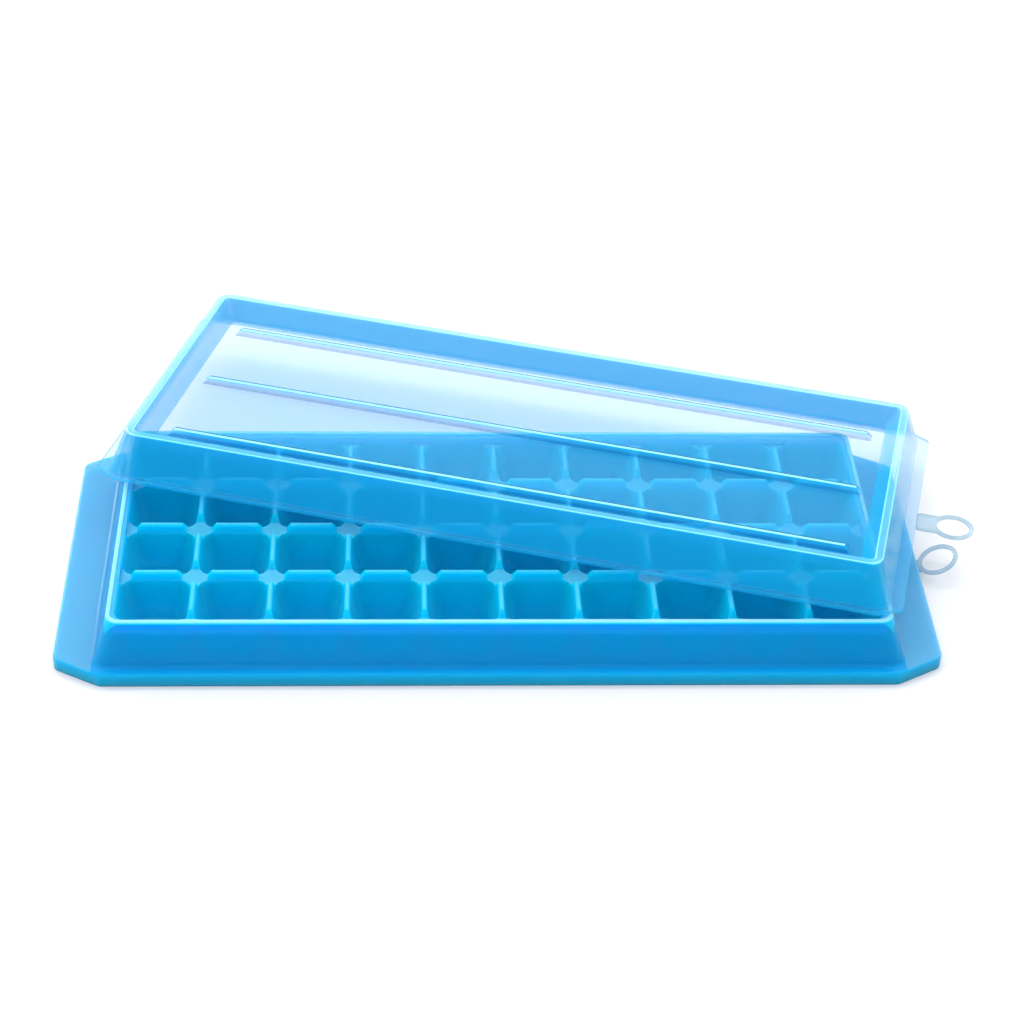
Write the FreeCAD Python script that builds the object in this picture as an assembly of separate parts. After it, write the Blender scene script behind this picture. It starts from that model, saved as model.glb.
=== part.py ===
import FreeCAD, Part
import math
import os
from FreeCAD import Vector, Placement, Rotation

# Covered ice cube tray: a tray moulding, a lid moulding lying askew on it,
# and one clear ring pull on the right-hand end of each.
# Millimetres, +Z up, +X along the tray's length towards the ring pulls, and the
# table at Z = 0. Each moulding is made about its own middle and then set in place.

# Cells of the tray
cell_pitch = 28.0
columns = 10
rows = 4
divider_top = 1.6
divider_bevel = 0.5
divider_bevel_height = 0.7
cell_floor_half = 8.6
cell_corner = 4.2
cell_floor_fillet = 2.4
cell_floor_top = 1.8
cell_wall = 1.2

# Block round the cells
flange_top = 5.4
block_rise = 16.6
rim_margin = 2.0
rim_width = 1.4
rim_step = 0.9
rim_corner = 5.0
block_spread = 5.0
block_wall = 1.6
deck = 4.5
rim_round = 0.5

# Low places where the dividers cross, which let water run between the cells
junction_drop = 3.1
junction_radius = 4.7
junction_slope = 1.7

# Flange and down-turned lip of the tray
end_flange = 14.8
side_flange = 4.6
flange_thick = 1.8
lip_thick = 1.8
corner_cut_x = 17.2
corner_cut_y = 9.4
flange_round = 4.0
flange_edge_round = 0.8
foot_round = 2.0

# Lid in its own frame: the mouth plane is Z = 0
lid_height = 17.3
lid_wall = 1.5
lid_mouth_play = 1.9
lid_spread = 5.8
lid_corner = 6.0
crest_width = 3.0
panel_recess = 7.8
panel_slope = 5.2
panel_corner = 2.0
crest_round = 1.0
lid_flange = 4.2
lid_side_flange = 1.4
lid_flange_thick = 1.5
lid_cut_x = 9.0
lid_cut_y = 5.5
lid_flange_round = 2.0
lid_flange_edge_round = 0.4
lid_foot_round = 1.0

# Three long ribs on the lid's panel
rib_count = 3
rib_spacing = 41.0
rib_length = 265.0
rib_width = 5.0
rib_height = 2.4
rib_flank = 1.4
rib_end_slope = 2.6
rib_corner = 0.6

# How the lid lies on the tray
lid_yaw = -15.3
lid_tilt = -4.5
lid_roll = 0.47
lid_at_x = 12.2
lid_at_y = 45.4
rest_gap = 0.3

# Ring pulls
ring_outer = 7.9
ring_hole = 6.3
ring_thick = 1.3
lid_tab_length = 5.3
lid_tab_width = 10.5
tray_tab_length = 0.4
tray_tab_width = 6.0
tab_margin = 0.5
bead_radius = 0.8
bead_stand_off = 0.65
hinge_play = 0.05
tray_ring_height = 2.2
tray_ring_tilt = 25.0
tray_ring_y = -2.5
ring_edge_round = 0.3

# Cutting shapes run this far past what they cut, and joined shapes this far into each other
over_cut = 1.0
join_overlap = 0.5
tiny = 0.01

# Sizes that follow from those above
rim_half_x = columns * cell_pitch / 2.0 + rim_margin
rim_half_y = rows * cell_pitch / 2.0 + rim_margin
rim_top = flange_top + block_rise
divider_level = rim_top - rim_step
foot_half_x = rim_half_x + block_spread
foot_half_y = rim_half_y + block_spread
tray_half_x = foot_half_x + end_flange
tray_half_y = foot_half_y + side_flange
cell_top_half = (cell_pitch - divider_top) / 2.0
deck_level = divider_level - deck
mouth_half_x = foot_half_x + lid_wall + lid_mouth_play
mouth_half_y = foot_half_y + lid_wall
crest_half_x = mouth_half_x - lid_spread
crest_half_y = mouth_half_y - lid_spread
lid_half_x = mouth_half_x + lid_flange
lid_half_y = mouth_half_y + lid_side_flange
panel_top = lid_height - panel_recess
panel_under = panel_top - lid_wall
panel_half_x = crest_half_x - crest_width - panel_slope
panel_half_y = crest_half_y - crest_width - panel_slope
hinge_on_lid = Vector(lid_half_x + bead_stand_off, 0, lid_flange_thick / 2.0)
hinge_on_tray = Vector(tray_half_x + bead_stand_off, tray_ring_y, tray_ring_height)


def rounded_block(low, high, radius):
    # A tapered block between two rectangles, each (half_x, half_y, z), with round upright edges.
    low_x, low_y, low_z = low
    high_x, high_y, high_z = high
    block = Part.makeWedge(
        -low_x, low_z, -low_y, -high_y, -high_x, low_x, high_z, low_y, high_y, high_x
    )
    block.rotate(Vector(0, 0, 0), Vector(1, 0, 0), 90)
    upright = [e for e in block.Edges if e.BoundBox.ZLength > 0.9 * (high_z - low_z)]
    return block.makeFillet(radius, upright)


def cut_corner_plate(half_x, half_y, cut_x, cut_y, radius, z, thick):
    # A plate with its four corners cut off, and the eight edges left rounded.
    points = []
    for sx, sy in [(1, 1), (-1, 1), (-1, -1), (1, -1)]:
        on_end = Vector(sx * half_x, sy * (half_y - cut_y), z)
        on_side = Vector(sx * (half_x - cut_x), sy * half_y, z)
        points += [on_end, on_side] if sx * sy > 0 else [on_side, on_end]
    plate = Part.Face(Part.makePolygon(points + points[:1])).extrude(Vector(0, 0, thick))
    upright = [e for e in plate.Edges if abs(e.tangentAt(e.FirstParameter).z) > 0.9]
    return plate.makeFillet(radius, upright)


def inset_cut(cut_x, cut_y, wall):
    # Corner cut of the inner outline that leaves the same wall along the slanting corner.
    excess = cut_x + cut_y - math.hypot(cut_x, cut_y)
    return cut_x - wall * excess / cut_y, cut_y - wall * excess / cut_x


def block_half(half, z):
    # Half size of the block's drafted outside at a height, from its half size at the rim.
    return half + block_spread * (rim_top - z) / block_rise


def save(shape, name):
    if shape.ShapeType == "Compound" and len(shape.Solids) == 1:
        shape = shape.Solids[0]
    shape.exportStep("parts/" + name + ".step")
    print(name, "solids", len(shape.Solids), "valid", shape.isValid(), "volume", round(shape.Volume, 1))


# Tray

def cell_centres():
    for column in range(columns):
        for row in range(rows):
            x = (column - (columns - 1) / 2.0) * cell_pitch
            y = (row - (rows - 1) / 2.0) * cell_pitch
            yield Vector(x, y, 0)


def one_cell():
    # The hollow of one cell, run up past the dividers so that it cuts clean.
    slope = (cell_top_half - cell_floor_half) / (divider_level - cell_floor_top)
    top_half = cell_top_half + slope * over_cut
    hollow = rounded_block(
        (cell_floor_half, cell_floor_half, cell_floor_top),
        (top_half, top_half, divider_level + over_cut),
        cell_corner,
    )
    floor = [e for e in hollow.Edges if e.BoundBox.ZMax < cell_floor_top + tiny]
    hollow = hollow.makeFillet(cell_floor_fillet, floor)
    # The mouth flares a little more, which leaves each divider a narrow soft top.
    flare = divider_bevel / divider_bevel_height
    flare_low = divider_level - divider_bevel_height
    flare_half = cell_top_half - slope * divider_bevel_height
    flare_reach = flare * (divider_bevel_height + over_cut)
    mouth = rounded_block(
        (flare_half, flare_half, flare_low),
        (flare_half + flare_reach, flare_half + flare_reach, divider_level + over_cut),
        cell_corner,
    )
    return hollow.fuse(mouth)


def one_cup():
    # The outside of one cell below the deck.
    slope = (cell_top_half - cell_floor_half) / (divider_level - cell_floor_top)
    low = cell_floor_half + cell_wall
    high_z = deck_level + cell_wall
    high = low + slope * (high_z - cell_floor_top)
    return rounded_block(
        (low, low, cell_floor_top - cell_wall),
        (high, high, high_z),
        cell_corner + cell_wall,
    )


def junctions():
    # Cone-shaped dips where dividers cross or meet the wall, kept inside the wall.
    low_z = divider_level - junction_drop
    growth = junction_slope / junction_drop
    depth = junction_drop + over_cut
    dip = Part.makeCone(junction_radius, junction_radius + growth * depth, depth, Vector(0, 0, low_z))
    dips = []
    for column in range(columns + 1):
        for row in range(rows + 1):
            at_end = column in (0, columns)
            at_side = row in (0, rows)
            if at_end and at_side:
                continue
            x = (column - columns / 2.0) * cell_pitch
            y = (row - rows / 2.0) * cell_pitch
            dips.append(dip.translated(Vector(x, y, 0)))
    inside_x = rim_half_x - rim_margin - divider_top / 2.0
    inside_y = rim_half_y - rim_margin - divider_top / 2.0
    inside = rounded_block(
        (inside_x, inside_y, low_z - over_cut),
        (inside_x, inside_y, low_z + depth + over_cut),
        cell_corner,
    )
    return Part.makeCompound(dips).common(inside)


def edges_at(shape, z, inside_x, inside_y):
    # The level edges at a height that lie inside a rectangle about the middle.
    return [
        e
        for e in shape.Edges
        if e.BoundBox.ZMin > z - tiny
        and e.BoundBox.ZMax < z + tiny
        and max(e.BoundBox.XMax, -e.BoundBox.XMin) < inside_x + tiny
        and max(e.BoundBox.YMax, -e.BoundBox.YMin) < inside_y + tiny
    ]


def tray_outside():
    # The tray with no hollows: flange plate, drafted block, soft edges.
    block = rounded_block(
        (foot_half_x, foot_half_y, flange_top),
        (rim_half_x, rim_half_y, rim_top),
        rim_corner,
    )
    block = block.makeFillet(rim_round, edges_at(block, rim_top, rim_half_x, rim_half_y))
    flange = cut_corner_plate(
        tray_half_x, tray_half_y, corner_cut_x, corner_cut_y, flange_round, 0.0, flange_top
    )
    flange = flange.makeFillet(
        flange_edge_round, edges_at(flange, flange_top, tray_half_x, tray_half_y)
    )
    body = flange.fuse(block)
    return body.makeFillet(foot_round, edges_at(body, flange_top, foot_half_x, foot_half_y))


def tray():
    body = tray_outside()
    inner_cut_x, inner_cut_y = inset_cut(corner_cut_x, corner_cut_y, lip_thick)
    under_flange = cut_corner_plate(
        tray_half_x - lip_thick,
        tray_half_y - lip_thick,
        inner_cut_x,
        inner_cut_y,
        flange_round - lip_thick,
        -over_cut,
        flange_top - flange_thick + over_cut,
    )
    foot_level = flange_top - flange_thick - join_overlap
    under_block = rounded_block(
        (
            block_half(rim_half_x, foot_level) - block_wall,
            block_half(rim_half_y, foot_level) - block_wall,
            foot_level,
        ),
        (
            block_half(rim_half_x, deck_level) - block_wall,
            block_half(rim_half_y, deck_level) - block_wall,
            deck_level,
        ),
        rim_corner - block_wall,
    )
    cup = one_cup()
    cups = [cup.translated(centre) for centre in cell_centres()]
    hollow = under_flange.fuse(under_block).cut(Part.makeCompound(cups))
    body = body.cut(hollow)
    recess_x = rim_half_x - rim_width
    recess_y = rim_half_y - rim_width
    recess = rounded_block(
        (recess_x, recess_y, divider_level),
        (recess_x, recess_y, rim_top + over_cut),
        rim_corner - rim_width,
    )
    cell = one_cell()
    cells = Part.makeCompound([cell.translated(centre) for centre in cell_centres()])
    body = body.cut(recess).cut(cells).cut(junctions())
    groove = bead(tray_tab_width, hinge_play)
    body = body.cut(groove.translated(hinge_on_tray))
    return body.removeSplitter()


# Ring pulls

def bead(tab_width, play):
    # A round bar along Y, centred on the origin: the flexing root of a pull.
    length = tab_width - 2.0 * tab_margin + 2.0 * play
    return Part.makeCylinder(bead_radius + play, length, Vector(0, -length / 2.0, 0), Vector(0, 1, 0))


def ring_pull(tab_length, tab_width):
    # The hinge line is the Y axis, and the ring reaches out along +X.
    centre = Vector(tab_length + ring_outer, 0, -ring_thick / 2.0)
    disc = Part.makeCylinder(ring_outer, ring_thick, centre)
    tab = Part.makeBox(
        centre.x, tab_width, ring_thick, Vector(0, -tab_width / 2.0, -ring_thick / 2.0)
    )
    shape = disc.fuse(tab).removeSplitter()
    hole = Part.makeCylinder(ring_hole, ring_thick, centre)
    shape = shape.cut(hole)
    rims = [
        e
        for e in shape.Edges
        if e.Curve.TypeId == "Part::GeomCircle" and e.BoundBox.ZLength < tiny
    ]
    shape = shape.makeFillet(ring_edge_round, rims)
    return shape.fuse(bead(tab_width, 0.0)).removeSplitter()


# Lid

def lid():
    outside = rounded_block(
        (mouth_half_x, mouth_half_y, 0.0),
        (crest_half_x, crest_half_y, lid_height),
        lid_corner,
    )
    outside = outside.makeFillet(
        crest_round, edges_at(outside, lid_height, crest_half_x, crest_half_y)
    )
    flange = cut_corner_plate(
        lid_half_x, lid_half_y, lid_cut_x, lid_cut_y, lid_flange_round, 0.0, lid_flange_thick
    )
    flange = flange.makeFillet(
        lid_flange_edge_round, edges_at(flange, lid_flange_thick, lid_half_x, lid_half_y)
    )
    body = outside.fuse(flange)
    body = body.makeFillet(
        lid_foot_round, edges_at(body, lid_flange_thick, mouth_half_x, mouth_half_y)
    )
    growth = panel_slope / panel_recess
    slope_half_x = panel_half_x + panel_slope
    slope_half_y = panel_half_y + panel_slope
    recess = rounded_block(
        (panel_half_x, panel_half_y, panel_top),
        (
            slope_half_x + growth * over_cut,
            slope_half_y + growth * over_cut,
            lid_height + over_cut,
        ),
        panel_corner,
    )
    body = body.cut(recess)
    body = body.makeFillet(crest_round, edges_at(body, lid_height, slope_half_x, slope_half_y))
    draft = lid_spread / lid_height
    roof_x = mouth_half_x - lid_wall - draft * (lid_height - lid_wall)
    roof_y = mouth_half_y - lid_wall - draft * (lid_height - lid_wall)
    inside = rounded_block(
        (
            mouth_half_x - lid_wall + draft * over_cut,
            mouth_half_y - lid_wall + draft * over_cut,
            -over_cut,
        ),
        (roof_x, roof_y, lid_height - lid_wall),
        lid_corner - lid_wall,
    )
    slope_wall = lid_wall * math.hypot(panel_slope, panel_recess) / panel_recess
    under_slope = slope_wall - growth * lid_wall
    ceiling = rounded_block(
        (panel_half_x + under_slope, panel_half_y + under_slope, panel_under),
        (slope_half_x + slope_wall, slope_half_y + slope_wall, lid_height),
        panel_corner + lid_wall,
    )
    body = body.cut(inside.cut(ceiling))
    for index in range(rib_count):
        y = (index - (rib_count - 1) / 2.0) * rib_spacing
        body = body.fuse(rib().translated(Vector(0, y, panel_top)))
    groove = bead(lid_tab_width, hinge_play)
    body = body.cut(groove.translated(hinge_on_lid))
    return body.removeSplitter()


def rib():
    # A low rib with sloping flanks and ends, its foot sunk in the panel.
    half_length = rib_length / 2.0
    half_width = rib_width / 2.0
    return rounded_block(
        (half_length, half_width, -join_overlap),
        (half_length - rib_end_slope, half_width - rib_flank, rib_height),
        rib_corner,
    )


def lid_rest_height(turn):
    # The lowest height at which the tilted lid clears the tray's rim all round.
    # Its panel lies near the back rim, and its mouth near the rim's left and right.
    up = turn.multVec(Vector(0, 0, 1))
    back = turn.inverted()
    steps = 80
    need = 0.0
    corner_loss = rim_corner * (1.0 - math.sqrt(0.5))
    straight_x = rim_half_x - corner_loss
    straight_y = rim_half_y - corner_loss
    for index in range(steps + 1):
        share = 2.0 * index / steps - 1.0
        for x, y in [
            (share * straight_x, rim_half_y),
            (share * straight_x, -rim_half_y),
            (rim_half_x, share * straight_y),
            (-rim_half_x, share * straight_y),
        ]:
            offset = Vector(x - lid_at_x, y - lid_at_y, 0)
            local = back.multVec(offset)
            inside_panel = abs(local.x) < panel_half_x and abs(local.y) < panel_half_y
            inside_lid = abs(local.x) < lid_half_x and abs(local.y) < lid_half_y
            past_wall = (
                abs(local.x) > mouth_half_x - lid_wall - over_cut
                or abs(local.y) > mouth_half_y - lid_wall - over_cut
            )
            if inside_panel:
                height = panel_under
            elif inside_lid and past_wall:
                height = 0.0
            else:
                continue
            rise = rim_top + rest_gap - (height - up.x * offset.x - up.y * offset.y) / up.z
            need = max(need, rise)
    return need


def settle(lid_shape, turn):
    # Lowers the tilted lid on the tray's rim until it comes within the rest gap.
    # It can't pass the rim, because a gap is never wider than the way down to it.
    outside = tray_outside()
    place = Placement(Vector(lid_at_x, lid_at_y, lid_rest_height(turn)), turn)
    settle_steps = 10
    for step in range(settle_steps):
        lid_shape.Placement = place
        clear = lid_shape.distToShape(outside)[0]
        place.Base = place.Base.sub(Vector(0, 0, clear - rest_gap))
    print("lid clears the rim by", round(clear, 3))
    return place


def main():
    os.makedirs("parts", exist_ok=True)
    turn = Rotation(Vector(0, 0, 1), lid_yaw)
    turn = turn.multiply(Rotation(Vector(1, 0, 0), lid_tilt))
    turn = turn.multiply(Rotation(Vector(0, 1, 0), lid_roll))

    lid_shape = lid()
    lid_place = settle(lid_shape, turn)
    lid_shape.Placement = lid_place
    lid_pull = ring_pull(lid_tab_length, lid_tab_width)
    lid_pull.translate(hinge_on_lid)
    lid_pull.Placement = lid_place.multiply(lid_pull.Placement)
    tray_pull = ring_pull(tray_tab_length, tray_tab_width)
    tray_pull.rotate(Vector(0, 0, 0), Vector(0, 1, 0), -tray_ring_tilt)
    tray_pull.translate(hinge_on_tray)
    pieces = {
        "tray": tray(),
        "lid": lid_shape,
        "lid_ring_pull": lid_pull,
        "tray_ring_pull": tray_pull,
    }

    # The origin is the middle of the whole part's outline on the table.
    extent = Part.makeCompound(list(pieces.values())).optimalBoundingBox(False, False)
    shift = Vector(-extent.Center.x, -extent.Center.y, -extent.ZMin)
    for name, shape in pieces.items():
        shape.translate(shift)
        save(shape, name)
    print("tray middle", shift)
    print("lid middle", lid_place.Base.add(shift), "turn", turn.Axis, math.degrees(turn.Angle))
    print("lid hinge", lid_place.multVec(hinge_on_lid).add(shift), turn.multVec(Vector(0, -1, 0)))
    print("tray hinge", hinge_on_tray.add(shift))


main()
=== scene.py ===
# %% [markdown]
# # A covered ice cube tray, dressed for its photograph
# The solids come from CAD and are already the right shape: a long tray with forty tapered
# cells, a lid that lies askew on it, and a soft ring pull on one end of each. In Blender we
# add what a solid cannot carry: coloured see-through plastic, light, and a camera. The first
# cell loads the imported model and can measure each piece's box.

# %% Load the imported model
import bpy
import math
from mathutils import Matrix, Vector


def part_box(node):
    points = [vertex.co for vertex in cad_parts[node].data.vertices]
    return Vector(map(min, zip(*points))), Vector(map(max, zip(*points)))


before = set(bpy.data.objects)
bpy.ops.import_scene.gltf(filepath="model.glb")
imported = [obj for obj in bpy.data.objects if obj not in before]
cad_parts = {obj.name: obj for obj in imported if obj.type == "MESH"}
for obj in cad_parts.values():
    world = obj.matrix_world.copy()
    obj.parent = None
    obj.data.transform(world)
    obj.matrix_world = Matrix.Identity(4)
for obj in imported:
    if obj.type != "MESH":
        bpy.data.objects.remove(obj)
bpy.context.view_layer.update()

# %% [markdown]
# ## The camera
# A catalogue picture like this one is taken with a long lens from above the front edge. We
# could drag a camera about until it looks right, but a few measured values are easier to
# correct: how far off it stands, how much it looks down, how it is turned, and how far the
# picture is slid. The angles below were found by laying the tray's corners over the picture.
# From them the cell builds the camera's own right, up and backward directions, and those
# three are the columns of its matrix. The lens follows from a focal length in picture points.

# %% Camera
camera_yaw = math.radians(-3.72)
camera_pitch = math.radians(37.93)
camera_roll = math.radians(2.36)
camera_distance = 0.9094
camera_slide = (0.00624, 0.02107)
focal_pixels = 2371.0
image_pixels = 1024.0
sensor_width = 36.0


def box_middle(node):
    low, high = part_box(node)
    return (low + high) / 2


def add_camera():
    aim = box_middle("tray")
    aim.z = 0.0
    forward = Vector((
        -math.sin(camera_yaw) * math.cos(camera_pitch),
        math.cos(camera_yaw) * math.cos(camera_pitch),
        -math.sin(camera_pitch),
    ))
    level = Vector((math.cos(camera_yaw), math.sin(camera_yaw), 0.0))
    upright = level.cross(forward)
    right = level * math.cos(camera_roll) + upright * math.sin(camera_roll)
    up = upright * math.cos(camera_roll) - level * math.sin(camera_roll)
    place = aim - forward * camera_distance + right * camera_slide[0] + up * camera_slide[1]
    bpy.ops.object.camera_add()
    camera = bpy.context.object
    camera.data.sensor_width = sensor_width
    camera.data.lens = focal_pixels / image_pixels * sensor_width
    camera.matrix_world = Matrix((
        (right.x, up.x, -forward.x, place.x),
        (right.y, up.y, -forward.y, place.y),
        (right.z, up.z, -forward.z, place.z),
        (0.0, 0.0, 0.0, 1.0),
    ))
    bpy.context.scene.camera = camera
    return camera


camera = add_camera()
print("camera at", camera.matrix_world.translation, "lens", round(camera.data.lens, 1), "mm")

# %% [markdown]
# ## Two helpers
# Colours are written as the hex values a paint program shows, and Blender's shaders want
# linear light, so one function turns the first into the second. Every finish is a small web of
# nodes, so the other adds a node, sets its choices and values, and joins it to the ones before.

# %% Helpers for colours and nodes
def linear(hex_colour):
    # The numbers are those of the sRGB standard's own curve.
    channels = [int(hex_colour[i:i + 2], 16) / 255 for i in (0, 2, 4)]
    bent = [c / 12.92 if c <= 0.04045 else ((c + 0.055) / 1.055) ** 2.4 for c in channels]
    return (*bent, 1.0)


def add_node(tree, kind, settings=None, values=None, links=None):
    node = tree.nodes.new(kind)
    for name, value in (settings or {}).items():
        setattr(node, name, value)
    for socket, value in (values or {}).items():
        node.inputs[socket].default_value = value
    for socket, source in (links or {}).items():
        tree.links.new(source.outputs[0] if hasattr(source, "outputs") else source,
                       node.inputs[socket])
    return node


print("0088FF in linear light:", [round(c, 3) for c in linear("0088FF")])

# %% [markdown]
# ## The light
# Small moulded goods are photographed in a white tent. A lamp for each side would leave a
# lamp's shape in every glossy edge, so the world itself is the tent: brightest behind and
# overhead, a little brighter on the left, and dim where the camera looks in, which is why the
# walls that face us are the deepest blue. Its brightness depends only on direction.

# %% The white tent
tent_front = 0.45
tent_back = 2.0
tent_lean_back = 0.55
tent_lean_up = 0.75
tent_lean_left = -0.3
tent_dark_end = -0.5
tent_bright_end = 0.9


def add_tent():
    world = bpy.data.worlds.new("white_tent")
    bpy.context.scene.world = world
    world.use_nodes = True
    tree = world.node_tree
    place = add_node(tree, "ShaderNodeTexCoord")
    split = add_node(tree, "ShaderNodeSeparateXYZ", links={0: place.outputs["Generated"]})
    back = add_node(tree, "ShaderNodeMath", {"operation": "MULTIPLY"}, {1: tent_lean_back},
                    {0: split.outputs["Y"]})
    lift = add_node(tree, "ShaderNodeMath", {"operation": "MULTIPLY_ADD"}, {1: tent_lean_up},
                    {0: split.outputs["Z"], 2: back})
    side = add_node(tree, "ShaderNodeMath", {"operation": "MULTIPLY_ADD"}, {1: tent_lean_left},
                    {0: split.outputs["X"], 2: lift})
    glow = add_node(tree, "ShaderNodeMapRange", {"interpolation_type": "SMOOTHSTEP"},
                    {"From Min": tent_dark_end, "From Max": tent_bright_end,
                     "To Min": tent_front, "To Max": tent_back}, {"Value": side})
    background = tree.nodes["Background"]
    background.inputs["Color"].default_value = (1, 1, 1, 1)
    tree.links.new(glow.outputs[0], background.inputs["Strength"])


add_tent()
print("tent from", tent_front, "in front to", tent_back, "behind and overhead")

# %% [markdown]
# ## Two soft boxes, and the view
# A tent alone is so even that rounded edges look dull in it. Two long, narrow soft boxes, one
# overhead and one at the back left, give those edges a fine bright line to reflect. Both are
# weak, because the tent does the lighting. The picture's white is pure white, so the plain
# Standard view is used, which keeps colours as they are mixed.

# %% Soft boxes and view
def add_softbox(name, place, size, power):
    bpy.ops.object.light_add(type="AREA", location=place)
    lamp = bpy.context.object
    lamp.name = name
    lamp.data.shape = "RECTANGLE"
    lamp.data.size, lamp.data.size_y = size
    lamp.data.energy = power
    lamp.rotation_euler = (-Vector(place)).to_track_quat("-Z", "Y").to_euler()
    return lamp


# Each has its place and its size in metres, and its power in watts.
soft_boxes = {
    "overhead_strip": ((0.0, 0.35, 1.1), (1.2, 0.05), 3.0),
    "left_strip": ((-0.75, 0.95, 0.42), (0.06, 0.5), 2.5),
}
for name, (place, size, power) in soft_boxes.items():
    lamp = add_softbox(name, place, size, power)
    print(lamp.name, "of", power, "W,", round(Vector(place).length, 2), "m away")
bpy.context.scene.view_settings.view_transform = "Standard"

# %% [markdown]
# ## Moulded plastic, the part every finish shares
# Injection moulding leaves plastic almost even, but never quite: pigment gathers in soft
# patches, and the mould's polish leaves a texture finer than a grain of sand. One noise with
# patches some centimetres wide shifts the colour and the gloss a little together, and a
# second with a grain of millimetres drives a shallow bump. The real grain is finer than this
# picture can show, so it is drawn coarser. Both read the piece's own coordinates, so they
# keep their size in millimetres and move with the piece.

# %% Shared recipe
mm_per_metre = 1000.0
cloud_detail = 2.0
cloud_roughness = 0.5
grain_strength = 0.5
grain_depth = 0.00002


def new_material(name):
    material = bpy.data.materials.new(name)
    material.use_nodes = True
    return material, material.node_tree, material.node_tree.nodes["Principled BSDF"]


def add_cloud(tree, size_mm):
    place = add_node(tree, "ShaderNodeTexCoord")
    return add_node(tree, "ShaderNodeTexNoise", None,
                    {"Scale": mm_per_metre / size_mm, "Detail": cloud_detail,
                     "Roughness": cloud_roughness},
                    {"Vector": place.outputs["Object"]})


def moulded_finish(tree, shader, pale, deep, smooth, rough, patch_mm, grain_mm):
    cloud = add_cloud(tree, patch_mm)
    tint = add_node(tree, "ShaderNodeMix", {"data_type": "RGBA"}, None, {"Factor": cloud})
    tint.inputs["A"].default_value = linear(pale)
    tint.inputs["B"].default_value = linear(deep)
    tree.links.new(tint.outputs["Result"], shader.inputs["Base Color"])
    gloss = add_node(tree, "ShaderNodeMapRange", None, {"To Min": smooth, "To Max": rough},
                     {"Value": cloud})
    tree.links.new(gloss.outputs[0], shader.inputs["Roughness"])
    grain = add_cloud(tree, grain_mm)
    bump = add_node(tree, "ShaderNodeBump", None,
                    {"Strength": grain_strength, "Distance": grain_depth}, {"Height": grain})
    tree.links.new(bump.outputs[0], shader.inputs["Normal"])


def set_values(shader, values):
    for socket, value in values.items():
        shader.inputs[socket].default_value = value


print("the grain is", grain_depth * mm_per_metre, "mm deep")

# %% [markdown]
# ## Knowing where we are on a piece
# Clear coloured plastic looks different on each part of one moulding. A level sheet is thin
# along our line of sight and looks pale. A steep wall is seen through more plastic and looks
# deep. A rounded crest, where light that runs inside the sheet comes out, gets a painted
# highlight, and on the tray light and shade are painted in the same way. We could cut
# the piece into parts with a material each, but the change has to be soft. Instead a few
# nodes measure how level the surface is, and how far along a direction it lies. Nothing here
# reads the camera, so the finish stays the same from every side.

# %% Measures
def facing_up(tree, up):
    surface = add_node(tree, "ShaderNodeNewGeometry")
    along = add_node(tree, "ShaderNodeVectorMath", {"operation": "DOT_PRODUCT"}, {1: up},
                     {0: surface.outputs["Normal"]})
    return add_node(tree, "ShaderNodeMath", {"operation": "ABSOLUTE"}, None,
                    {0: along.outputs["Value"]})


def millimetres_along(tree, direction, base):
    place = add_node(tree, "ShaderNodeTexCoord")
    along = add_node(tree, "ShaderNodeVectorMath", {"operation": "DOT_PRODUCT"}, {1: direction},
                     {0: place.outputs["Object"]})
    return add_node(tree, "ShaderNodeMath", {"operation": "MULTIPLY_ADD"},
                    {1: mm_per_metre, 2: -mm_per_metre * direction.dot(base)},
                    {0: along.outputs["Value"]})


print("lengths on a piece are read in millimetres,", mm_per_metre, "to a metre")

# %% [markdown]
# ## From a measure to a share
# A measure becomes a share through a band: 0 below its low limit, 1 between its two inner
# limits and 0 past its high one, with a slope between. Shares combine as words do. Where all
# of them hold is their product, where any of them holds is the largest, and where one doesn't
# hold is what it leaves of 1.

# %% Shares
always_below = (1.5, 2.0)


def where_all(tree, share, *others):
    for other in others:
        share = add_node(tree, "ShaderNodeMath", {"operation": "MULTIPLY"}, None,
                         {0: share, 1: other})
    return share


def where_any(tree, share, *others):
    for other in others:
        share = add_node(tree, "ShaderNodeMath", {"operation": "MAXIMUM"}, None,
                         {0: share, 1: other})
    return share


def where_not(tree, share):
    return add_node(tree, "ShaderNodeMath", {"operation": "SUBTRACT"}, {0: 1.0}, {1: share})


def band(tree, source, low, full, full_end, high):
    rise = add_node(tree, "ShaderNodeMapRange", None, {"From Min": low, "From Max": full},
                    {"Value": source})
    fall = add_node(tree, "ShaderNodeMapRange", None,
                    {"From Min": full_end, "From Max": high, "To Min": 1.0, "To Max": 0.0},
                    {"Value": source})
    return where_all(tree, rise, fall)


print("how level a surface is never passes 1, so", always_below, "are limits it never meets")

# %% [markdown]
# ## Letting a share change a finish
# A share does nothing until a finish listens to it. One helper lays a new colour over the old
# one where the share is 1. The other does the same for cover, which is how much of the surface
# we see instead of what lies behind it. Each starts from what the socket already has, so
# changes stack up like coats of paint, and the last coat lies on top.

# %% Changing a finish by a share
def tint_where(tree, shader, share, colour):
    before = shader.inputs["Base Color"].links[0].from_socket
    tint = add_node(tree, "ShaderNodeMix", {"data_type": "RGBA"}, None, {"Factor": share})
    tint.inputs["B"].default_value = linear(colour)
    tree.links.new(before, tint.inputs["A"])
    tree.links.new(tint.outputs["Result"], shader.inputs["Base Color"])


def cover_where(tree, shader, share, cover):
    alpha = shader.inputs["Alpha"]
    blend = add_node(tree, "ShaderNodeMix", {"data_type": "FLOAT"}, None, {"Factor": share})
    blend.inputs["B"].default_value = cover
    if alpha.links:
        tree.links.new(alpha.links[0].from_socket, blend.inputs["A"])
    else:
        blend.inputs["A"].default_value = alpha.default_value
    tree.links.new(blend.outputs["Result"], alpha)


print("a share can change the sockets Base Color and Alpha")

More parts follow.
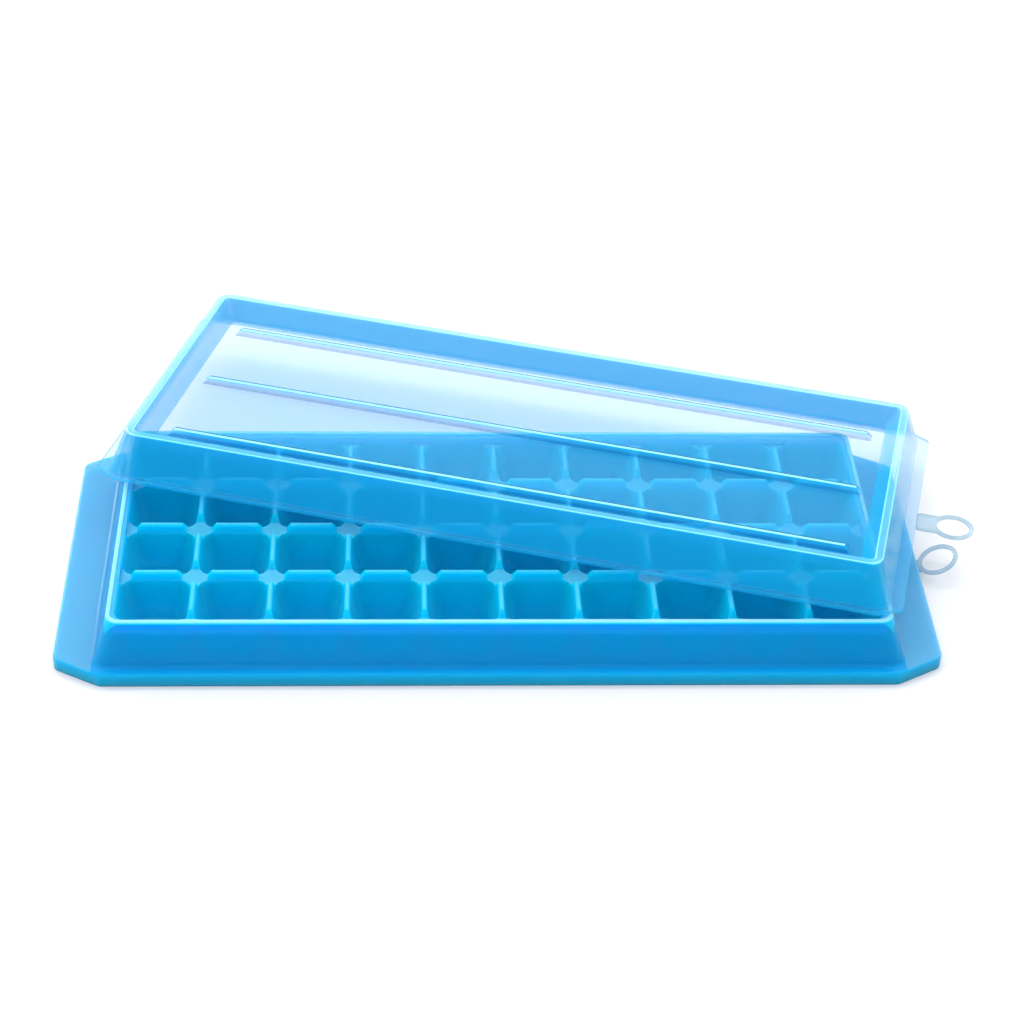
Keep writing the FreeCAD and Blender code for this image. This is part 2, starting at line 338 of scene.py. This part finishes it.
# %% [markdown]
# ## The tray: blue polypropylene, injection moulded
# Polypropylene is a milky plastic: light goes in, scatters for some millimetres and comes
# out bluer, which Subsurface gives. A little of what is behind shows through the thin sheet,
# so its cover is not quite full, and the flanges at the ends turn pale over the white floor.
# The reflections are weak and tinted, as they are on real polypropylene, where white glare
# would grey the blue.

# %% Tray finish
tray_plastic, tree, shader = new_material("blue_polypropylene_moulded")
moulded_finish(tree, shader, pale="5AAAE0", deep="52A2DA", smooth=0.14, rough=0.22,
               patch_mm=60.0, grain_mm=4.0)
set_values(shader, {
    "IOR": 1.49,
    "Specular IOR Level": 0.25,
    "Specular Tint": linear("7FDFFF"),
    "Subsurface Weight": 0.9,
    "Subsurface Radius": (0.15, 0.8, 1.0),
    "Subsurface Scale": 0.01,
    "Alpha": 0.75,
})
print("tray plastic:", len(tree.nodes), "nodes before its places are told apart")

# %% [markdown]
# ## Where the tray gets painted light and painted shade
# From above, the tray is a block of cells inside a skirt, with a flange round it. Distances
# from the tray's middle tell these apart, and height finds the rim's top and the down-turned
# lip. The level tops and walls among the cells are painted brighter, a painted light standing
# in for cups lit through one another. The outer skirt is painted the deepest blue, a painted
# shade for the dark hollow behind it. The lip is a lighter blue than that painted shade, and
# the rim's top carries a painted highlight.

# %% Places on the tray
world_up = Vector((0.0, 0.0, 1.0))
tray_middle = box_middle("tray")
half_length_cells_mm = 142.3
half_width_cells_mm = 58.3
half_length_foot_mm = 147.5
flange_top_mm = 5.4
rim_top_mm = 22.0
tray_level_limits = (0.5, 0.9, *always_below)
lip_limits_mm = (-2.0, -1.0, flange_top_mm - 0.8, flange_top_mm + 0.2)
# height band of the rim's top, where a painted highlight is laid
rim_highlight_limits_mm = (rim_top_mm - 0.6, rim_top_mm - 0.1, rim_top_mm + 8.0, rim_top_mm + 9.0)


def distance_from_middle(tree, direction):
    along = millimetres_along(tree, direction, tray_middle)
    return add_node(tree, "ShaderNodeMath", {"operation": "ABSOLUTE"}, None, {0: along})


lengthwise = distance_from_middle(tree, Vector((1.0, 0.0, 0.0)))
crosswise = distance_from_middle(tree, Vector((0.0, 1.0, 0.0)))
past_ends, past_sides, past_foot = [
    add_node(tree, "ShaderNodeMath", {"operation": "GREATER_THAN"}, {1: limit}, {0: distance})
    for distance, limit in (
        (lengthwise, half_length_cells_mm),
        (crosswise, half_width_cells_mm),
        (lengthwise, half_length_foot_mm),
    )
]
outside = where_any(tree, past_ends, past_sides)
inside = where_not(tree, outside)
print("the cells lie within", half_length_cells_mm, "by", half_width_cells_mm, "mm of the middle")

# %% Colours of the tray's places: painted light, painted shade and a painted highlight
tray_height = millimetres_along(tree, world_up, Vector((0.0, 0.0, 0.0)))
tray_level = band(tree, facing_up(tree, world_up), *tray_level_limits)
tray_walls = where_not(tree, tray_level)
steep_outside = where_all(tree, outside, tray_walls)
side_flange = where_all(tree, past_sides, where_not(tree, past_foot))
tray_painted_light_and_shade = {
    # painted light: the level tops and the walls among the cells are made brighter
    "painted light on the levels among the cells": (where_all(tree, inside, tray_level), "48B6F2"),
    "painted light on the walls of the cells": (where_all(tree, inside, tray_walls), "00C4FF"),
    # painted shade: the outer skirt and side flanges are made the deepest blue, and the lip below
    # the flange top a lighter blue than that
    "skirt": (where_any(tree, steep_outside, side_flange), "009AF2"),
    "lip": (where_all(tree, steep_outside, band(tree, tray_height, *lip_limits_mm)), "00AEFA"),
    # painted highlight: a pale line along the rim's top
    "painted highlight on the rim's top": (band(tree, tray_height, *rim_highlight_limits_mm), "90DCFF"),
}
for part, (share, colour) in tray_painted_light_and_shade.items():
    tint_where(tree, shader, share, colour)
    print(part, "tinted", colour)

# %% [markdown]
# ## The lid: the same plastic with far less pigment
# The lid is a sheet 1.5 mm thick that we look straight through. In so thin a sheet, real
# refraction turns every rib into a dark grey bar. A film is closer to
# the eye's impression: cover on the shader says how much of the film we see and how much of
# what lies behind. It is about a fifth on the level panel and a little under half on the steep
# walls, where there is more plastic along the line of sight. The lid lies turned and a little
# tilted, so its own up direction is read from its biggest face, on the panel, and not from
# the floor.

# %% How the lid lies
lid_turn = math.radians(-15.3)
lid_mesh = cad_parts["lid"].data
panel = max(lid_mesh.polygons, key=lambda face: face.area)
lid_up = panel.normal.copy() if panel.normal.z > 0 else -panel.normal
lid_along = Vector((math.cos(lid_turn), math.sin(lid_turn), 0.0))
lid_across = lid_up.cross(lid_along).normalized()
lid_top = lid_up * max(v.co.dot(lid_up) for v in lid_mesh.vertices)
lid_middle = box_middle("lid")
print("lid faces up along", [round(c, 3) for c in lid_up])

# %% Lid finish
panel_cover = 0.19
wall_cover = 0.46
lid_wall_limits = (-1.0, -0.5, 0.6, 0.95)

lid_plastic, tree, shader = new_material("pale_polypropylene_moulded")
moulded_finish(tree, shader, pale="44B6EA", deep="3CAEE4", smooth=0.1, rough=0.18,
               patch_mm=80.0, grain_mm=6.0)
set_values(shader, {
    "IOR": 1.49,
    "Specular IOR Level": 0.3,
    "Specular Tint": linear("BFEFFF"),
    "Subsurface Weight": 0.6,
    "Subsurface Radius": (0.2, 0.8, 1.0),
    "Subsurface Scale": 0.005,
    "Alpha": panel_cover,
})
lid_facing = facing_up(tree, lid_up)
lid_walls = band(tree, lid_facing, *lid_wall_limits)
tint_where(tree, shader, lid_walls, "10B2E4")
cover_where(tree, shader, lid_walls, wall_cover)
print("cover", panel_cover, "on the panel and", wall_cover, "on the walls")

# %% [markdown]
# ## Painted highlights and painted shade on the crests
# The ridge round the lid and the three ribs end in crests a millimetre or so wide, and in the
# picture each is a thin bright line: light that has run along inside the sheet comes out where
# it bends. The line is as thin as two points of the picture, too thin for a lamp's
# reflection to fill, so it is a painted highlight: the crest's colour is made paler and fuller
# there. Along both edges of each rib's bright line runs a fine dark one, a painted shade where
# the edge turns the light away, and the steep flanks beside it get a painted shade darker than
# the panel. Depths are counted from the lid's top, and a wrapped distance across it finds all
# three ribs at once.

# %% Places on the lid
rib_spacing_mm = 41.0
rib_half_length_mm = 132.5
rib_end_mm = 1.0
panel_depth_mm = 7.8
rib_height_mm = 2.4
rib_depth_mm = panel_depth_mm - rib_height_mm
lid_level_limits = (0.93, 0.98, *always_below)
bend_limits = (0.6, 0.8, 0.93, 0.995)
ridge_limits_mm = (-1.4, -0.9, 10.0, 11.0)
rib_top_limits_mm = (-rib_depth_mm - 0.3, -rib_depth_mm - 0.1,
                     -rib_depth_mm + 0.1, -rib_depth_mm + 0.3)
flank_height_limits_mm = (-panel_depth_mm, -panel_depth_mm + 0.1,
                          -rib_depth_mm - 0.2, -rib_depth_mm)

lid_height = millimetres_along(tree, lid_up, lid_top)
across = millimetres_along(tree, lid_across, lid_middle)
wrapped = add_node(tree, "ShaderNodeMath", {"operation": "WRAP"},
                   {1: rib_spacing_mm / 2, 2: -rib_spacing_mm / 2}, {0: across})
from_rib = add_node(tree, "ShaderNodeMath", {"operation": "ABSOLUTE"}, None, {0: wrapped})
near_rib = band(tree, millimetres_along(tree, lid_along, lid_middle),
                -rib_half_length_mm, rib_end_mm - rib_half_length_mm,
                rib_half_length_mm - rib_end_mm, rib_half_length_mm)
lid_level = band(tree, lid_facing, *lid_level_limits)
ridge = band(tree, lid_height, *ridge_limits_mm)
rib_top = where_all(tree, band(tree, lid_height, *rib_top_limits_mm), lid_level, near_rib)
print("ribs", rib_spacing_mm, "mm apart, their tops", round(rib_depth_mm, 2), "mm down")

# %% Colours and cover of the lid's places: painted highlights and painted shade
rib_bright_limits_mm = (-1.0, 0.0, 0.7, 0.9)
rib_dark_limits_mm = (0.8, 0.95, 1.4, 1.5)
rib_flank_limits_mm = (1.0, 1.2, 2.5, 2.7)

bend = where_all(tree, ridge, band(tree, lid_facing, *bend_limits))
rib_painted_highlight = where_all(tree, rib_top, band(tree, from_rib, *rib_bright_limits_mm))
rib_edge_painted_shade = where_all(tree, rib_top, band(tree, from_rib, *rib_dark_limits_mm))
rib_flank = where_all(tree, band(tree, lid_height, *flank_height_limits_mm),
                      band(tree, from_rib, *rib_flank_limits_mm), near_rib)
lid_painted_highlights_and_shade = {
    # painted highlights: the ridge's crest, its bends and the middles of the rib tops are made
    # paler and fuller
    "painted highlight on the crest of the ridge": (where_all(tree, ridge, lid_level), "6CD0F0", 0.4),
    "painted highlight on bends and rib tops": (where_any(tree, bend, rib_painted_highlight), "96F0FA", 0.75),
    # painted shade: the rib flanks and the thin edges of the rib tops are made darker
    "painted shade on the flanks of the ribs": (rib_flank, "0088C4", 0.5),
    "painted shade on the edges of the rib tops": (rib_edge_painted_shade, "1C5878", 0.7),
}
for part, (share, colour, cover) in lid_painted_highlights_and_shade.items():
    tint_where(tree, shader, share, colour)
    cover_where(tree, shader, share, cover)
    print(part, "tinted", colour, "with cover", cover)

# %% [markdown]
# ## The ring pulls: clear soft vinyl
# The two rings are clear, and against white only their edges show, as grey-blue lines. Half
# transmission lets light bend through the thick ring and darken its edge, and partial cover
# keeps the thin tab faint. Soft vinyl is glossier than the tray, so its roughness is lowest.

# %% Ring finish
clear_plastic, tree, shader = new_material("clear_vinyl_moulded")
moulded_finish(tree, shader, pale="94BCCE", deep="84B0C6", smooth=0.05, rough=0.1,
               patch_mm=10.0, grain_mm=2.0)
set_values(shader, {"IOR": 1.45, "Transmission Weight": 0.5, "Alpha": 0.6})
print("clear plastic:", len(tree.nodes), "nodes")

# %% [markdown]
# ## Dressing the pieces
# The CAD pieces are already on their bodies, so each only needs its slots emptied and the one
# material put in. Both rings share theirs, as the real ones share a plastic.

# %% Materials on the pieces
finishes = {
    "tray": tray_plastic,
    "lid": lid_plastic,
    "lid_ring_pull": clear_plastic,
    "tray_ring_pull": clear_plastic,
}
for node, material in finishes.items():
    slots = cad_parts[node].data.materials
    slots.clear()
    slots.append(material)
    print(node, "wears", material.name)

# %% [markdown]
# ## The floor
# The picture has no horizon, only white. A floor far wider than the view does that, and it is
# needed for more than its looks: it lights the pale flanges from below. It is a light grey
# that the tent brings up to white. Pure white would be too bright behind the thin lid.

# %% Floor
floor_size = 40.0
bpy.ops.object.select_all(action="DESELECT")
bpy.ops.mesh.primitive_plane_add(size=floor_size, location=(0, 0, 0))
floor = bpy.context.object
floor.name = "floor"
paper, tree, shader = new_material("matt_paper")
moulded_finish(tree, shader, pale="DADADA", deep="D6D6D6", smooth=0.75, rough=0.85,
               patch_mm=400.0, grain_mm=3.0)
floor.data.materials.append(paper)
print("floor", floor_size, "m wide")
